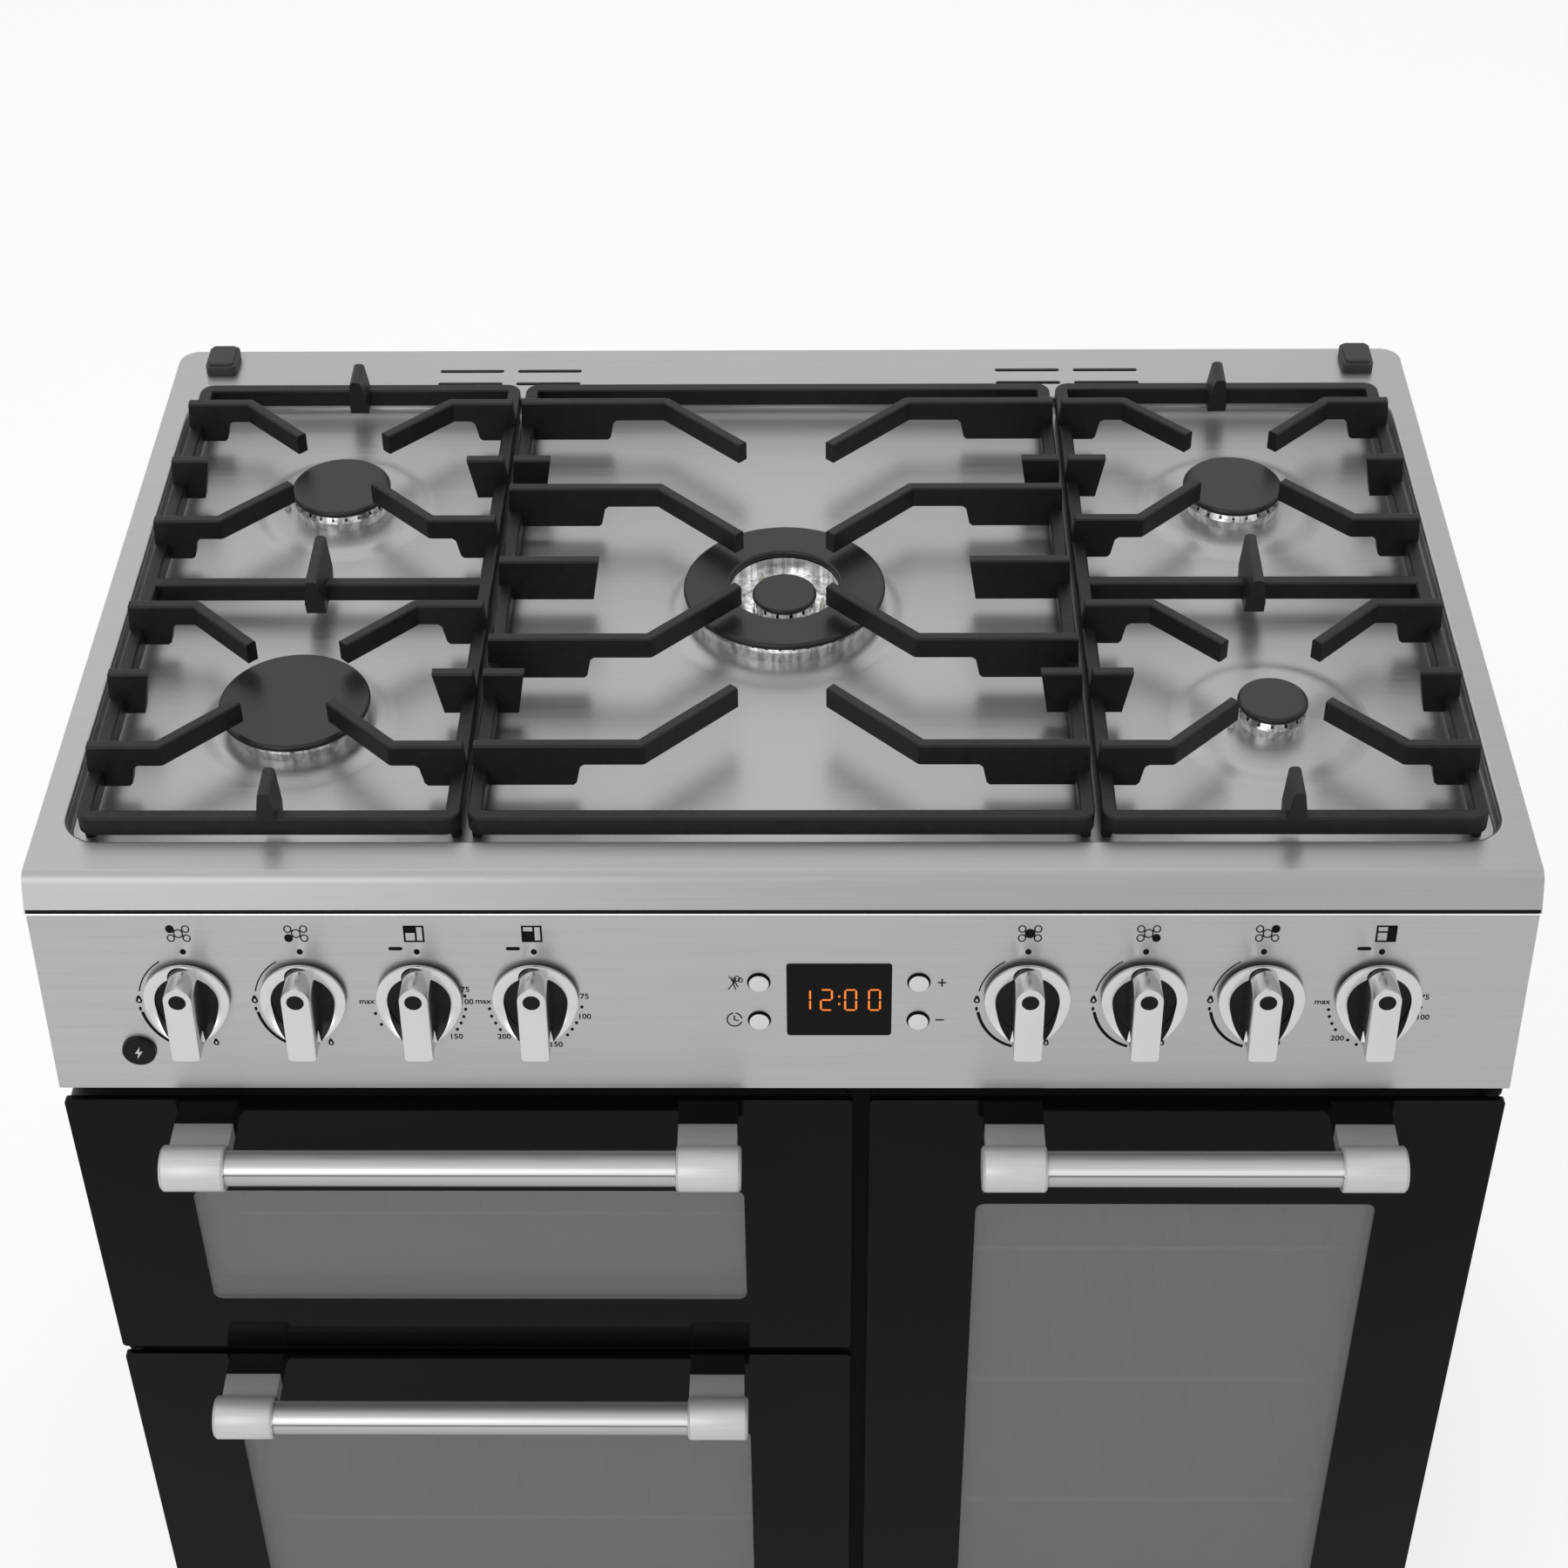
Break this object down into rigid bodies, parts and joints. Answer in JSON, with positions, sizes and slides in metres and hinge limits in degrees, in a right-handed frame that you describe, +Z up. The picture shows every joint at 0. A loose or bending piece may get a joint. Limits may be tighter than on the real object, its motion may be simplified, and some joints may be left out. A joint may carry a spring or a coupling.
{
  "type": "dual fuel range cooker",
  "caption": "Free-standing dual fuel range cooker: gas hob with cast pan supports, leaning control panel with knobs and timer, drop-down and side-hung glass oven doors with bar handles.",
  "frame": {"origin": "on the floor under the middle of the cooker's outer box", "axes": "+X to the right seen from the front, +Y to the back, +Z up; the front faces -Y"},
  "size_m": [0.9, 0.6496, 0.932],
  "materials": {
    "stainless": "brushed",
    "steel_casing": "satin",
    "galvanised": "matte",
    "black_enamel": "satin",
    "dark_enamel": "gloss",
    "cast_iron": "matte",
    "burner_alloy": "satin",
    "chrome": "satin",
    "black_plastic": "satin",
    "grey_plastic": "satin",
    "ceramic": "gloss",
    "brass": "satin",
    "rubber": "matte",
    "black_glass": "gloss",
    "door_enamel": "gloss",
    "shelf_wire": "gloss"
  },
  "bodies": {
    "cooker": {"base_frame": "galvanised", "adjustable_feet": "black_plastic", "plinth": "black_enamel", "side_panel_left": "steel_casing", "side_panel_right": "steel_casing", "rear_panel": "galvanised", "front_frame": "black_enamel", "top_oven_liner": "dark_enamel", "main_oven_liner": "dark_enamel", "tall_oven_liner": "dark_enamel", "door_seals": "rubber", "oven_shelves": "shelf_wire", "grill_element": "galvanised", "fan_motors": "galvanised", "fan_covers": "dark_enamel", "hob_top": "stainless", "rear_buffers": "rubber", "burner_bodies": "burner_alloy", "burner_heads": "burner_alloy", "burner_caps": "black_enamel", "igniters": "ceramic", "gas_manifold": "galvanised", "gas_taps": "brass", "control_panel": "stainless", "timer_module": "grey_plastic", "timer_window": "black_glass", "oven_controls": "grey_plastic", "mains_box": "grey_plastic"},
    "pan_support_left": {"pan_support_left": "cast_iron"},
    "pan_support_centre": {"pan_support_centre": "cast_iron"},
    "pan_support_right": {"pan_support_right": "cast_iron"},
    "spindle_rear_left": {"spindle_rear_left": "brass"},
    "knob_rear_left": {"knob_rear_left": "chrome"},
    "spindle_front_left": {"spindle_front_left": "brass"},
    "knob_front_left": {"knob_front_left": "chrome"},
    "spindle_wok": {"spindle_wok": "brass"},
    "knob_wok": {"knob_wok": "chrome"},
    "spindle_front_right": {"spindle_front_right": "brass"},
    "knob_front_right": {"knob_front_right": "chrome"},
    "spindle_rear_right": {"spindle_rear_right": "brass"},
    "knob_rear_right": {"knob_rear_right": "chrome"},
    "knob_top_oven": {"knob_top_oven": "chrome"},
    "knob_main_oven": {"knob_main_oven": "chrome"},
    "knob_tall_oven": {"knob_tall_oven": "chrome"},
    "ignition_button": {"ignition_button": "black_plastic"},
    "timer_button_function": {"timer_button_function": "chrome"},
    "timer_button_clock": {"timer_button_clock": "chrome"},
    "timer_button_plus": {"timer_button_plus": "chrome"},
    "timer_button_minus": {"timer_button_minus": "chrome"},
    "main_fan": {"main_fan": "galvanised"},
    "tall_fan": {"tall_fan": "galvanised"},
    "top_door": {"top_door_glass": "black_glass", "top_door_panel": "door_enamel", "top_door_handle": "chrome"},
    "main_door": {"main_door_glass": "black_glass", "main_door_panel": "door_enamel", "main_door_handle": "chrome"},
    "tall_door": {"tall_door_glass": "black_glass", "tall_door_panel": "door_enamel", "tall_door_handle": "chrome"}
  },
  "joints": [
    {"name": "pan_support_left_lift", "type": "slide", "parent": "cooker", "child": "pan_support_left", "axis": [0, 0, 1], "range_m": [0, 0.08]},
    {"name": "pan_support_centre_lift", "type": "slide", "parent": "cooker", "child": "pan_support_centre", "axis": [0, 0, 1], "range_m": [0, 0.08]},
    {"name": "pan_support_right_lift", "type": "slide", "parent": "cooker", "child": "pan_support_right", "axis": [0, 0, 1], "range_m": [0, 0.08]},
    {"name": "rear_left_push", "type": "slide", "parent": "cooker", "child": "spindle_rear_left", "axis": [0, 0.9955, -0.0952], "range_m": [0, 0.003], "stiffness_N_per_m": 900, "springref_m": -0.004},
    {"name": "rear_left_turn", "type": "hinge", "parent": "spindle_rear_left", "child": "knob_rear_left", "pos_m": [-0.36, -0.27036, 0.81547], "axis": [0, -0.9955, 0.0952], "range_deg": [0, 210]},
    {"name": "front_left_push", "type": "slide", "parent": "cooker", "child": "spindle_front_left", "axis": [0, 0.9955, -0.0952], "range_m": [0, 0.003], "stiffness_N_per_m": 900, "springref_m": -0.004},
    {"name": "front_left_turn", "type": "hinge", "parent": "spindle_front_left", "child": "knob_front_left", "pos_m": [-0.2895, -0.27036, 0.81547], "axis": [0, -0.9955, 0.0952], "range_deg": [0, 210]},
    {"name": "wok_push", "type": "slide", "parent": "cooker", "child": "spindle_wok", "axis": [0, 0.9955, -0.0952], "range_m": [0, 0.003], "stiffness_N_per_m": 900, "springref_m": -0.004},
    {"name": "wok_turn", "type": "hinge", "parent": "spindle_wok", "child": "knob_wok", "pos_m": [0.1485, -0.27036, 0.81547], "axis": [0, -0.9955, 0.0952], "range_deg": [0, 210]},
    {"name": "front_right_push", "type": "slide", "parent": "cooker", "child": "spindle_front_right", "axis": [0, 0.9955, -0.0952], "range_m": [0, 0.003], "stiffness_N_per_m": 900, "springref_m": -0.004},
    {"name": "front_right_turn", "type": "hinge", "parent": "spindle_front_right", "child": "knob_front_right", "pos_m": [0.219, -0.27036, 0.81547], "axis": [0, -0.9955, 0.0952], "range_deg": [0, 210]},
    {"name": "rear_right_push", "type": "slide", "parent": "cooker", "child": "spindle_rear_right", "axis": [0, 0.9955, -0.0952], "range_m": [0, 0.003], "stiffness_N_per_m": 900, "springref_m": -0.004},
    {"name": "rear_right_turn", "type": "hinge", "parent": "spindle_rear_right", "child": "knob_rear_right", "pos_m": [0.2895, -0.27036, 0.81547], "axis": [0, -0.9955, 0.0952], "range_deg": [0, 210]},
    {"name": "top_oven_turn", "type": "hinge", "parent": "cooker", "child": "knob_top_oven", "pos_m": [-0.219, -0.27036, 0.81547], "axis": [0, 0.9955, -0.0952], "range_deg": [0, 270]},
    {"name": "main_oven_turn", "type": "hinge", "parent": "cooker", "child": "knob_main_oven", "pos_m": [-0.1485, -0.27036, 0.81547], "axis": [0, 0.9955, -0.0952], "range_deg": [0, 270]},
    {"name": "tall_oven_turn", "type": "hinge", "parent": "cooker", "child": "knob_tall_oven", "pos_m": [0.36, -0.27036, 0.81547], "axis": [0, 0.9955, -0.0952], "range_deg": [0, 270]},
    {"name": "ignition_button_press", "type": "slide", "parent": "cooker", "child": "ignition_button", "axis": [0, 0.9955, -0.0952], "range_m": [0, 0.002], "stiffness_N_per_m": 400, "springref_m": -0.002},
    {"name": "timer_button_function_press", "type": "slide", "parent": "cooker", "child": "timer_button_function", "axis": [0, 0.9955, -0.0952], "range_m": [0, 0.002], "stiffness_N_per_m": 400, "springref_m": -0.002},
    {"name": "timer_button_clock_press", "type": "slide", "parent": "cooker", "child": "timer_button_clock", "axis": [0, 0.9955, -0.0952], "range_m": [0, 0.002], "stiffness_N_per_m": 400, "springref_m": -0.002},
    {"name": "timer_button_plus_press", "type": "slide", "parent": "cooker", "child": "timer_button_plus", "axis": [0, 0.9955, -0.0952], "range_m": [0, 0.002], "stiffness_N_per_m": 400, "springref_m": -0.002},
    {"name": "timer_button_minus_press", "type": "slide", "parent": "cooker", "child": "timer_button_minus", "axis": [0, 0.9955, -0.0952], "range_m": [0, 0.002], "stiffness_N_per_m": 400, "springref_m": -0.002},
    {"name": "main_fan_spin", "type": "hinge", "parent": "cooker", "child": "main_fan", "pos_m": [-0.20225, 0.18345, 0.293], "axis": [0, 1, 0], "continuous": true},
    {"name": "tall_fan_spin", "type": "hinge", "parent": "cooker", "child": "tall_fan", "pos_m": [0.25115, 0.18345, 0.417], "axis": [0, 1, 0], "continuous": true},
    {"name": "top_door_hinge", "type": "hinge", "parent": "cooker", "child": "top_door", "pos_m": [-0.20225, -0.26925, 0.5], "axis": [1, 0, 0], "range_deg": [0, 90]},
    {"name": "main_door_hinge", "type": "hinge", "parent": "cooker", "child": "main_door", "pos_m": [-0.44, -0.26925, 0.292], "axis": [0, 0, -1], "range_deg": [0, 110]},
    {"name": "tall_door_hinge", "type": "hinge", "parent": "cooker", "child": "tall_door", "pos_m": [0.44, -0.26925, 0.416], "axis": [0, 0, 1], "range_deg": [0, 110]}
  ]
}
